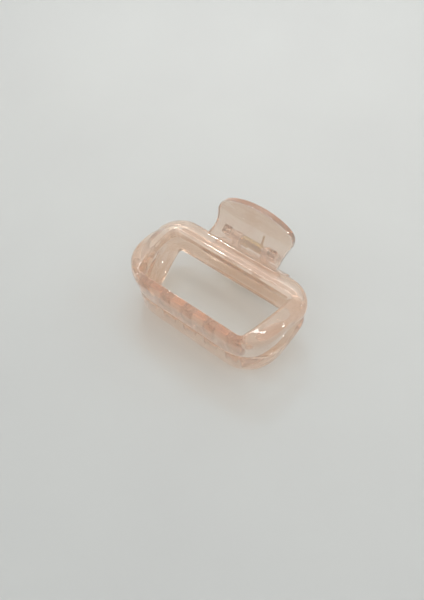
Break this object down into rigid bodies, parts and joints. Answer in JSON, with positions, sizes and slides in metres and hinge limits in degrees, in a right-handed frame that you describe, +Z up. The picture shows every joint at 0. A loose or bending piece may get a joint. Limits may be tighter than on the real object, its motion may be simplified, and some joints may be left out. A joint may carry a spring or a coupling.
{
  "type": "claw clip",
  "caption": "Open-frame rectangular claw hair clip: two translucent moulded jaws with teeth and thumb handles, hinged on a steel pin and closed by a torsion spring.",
  "frame": {"origin": "Middle of the footprint, on the surface that the closed clip lies on", "axes": "+X along the hinge pin, +Y from the teeth towards the handles, +Z up, with the clip lying on its lower jaw"},
  "size_m": [0.0794, 0.0612, 0.0452],
  "materials": {
    "jelly_plastic": "glossy translucent peach",
    "pin_steel": "drawn steel wire",
    "spring_wire": "gold-toned plated wire"
  },
  "bodies": {
    "lower": {"lower_jaw": "jelly_plastic", "hinge_pin": "pin_steel", "torsion_spring": "spring_wire"},
    "upper": {"upper_jaw": "jelly_plastic"}
  },
  "joints": [
    {"name": "jaw_hinge", "type": "hinge", "parent": "lower", "child": "upper", "pos_m": [0, 0.02186, 0.02226], "axis": [-1, 0, 0], "range_deg": [0, 80], "stiffness_Nm_per_rad": 0.12, "springref_deg": -40.11, "deforming": ["torsion_spring"]}
  ]
}
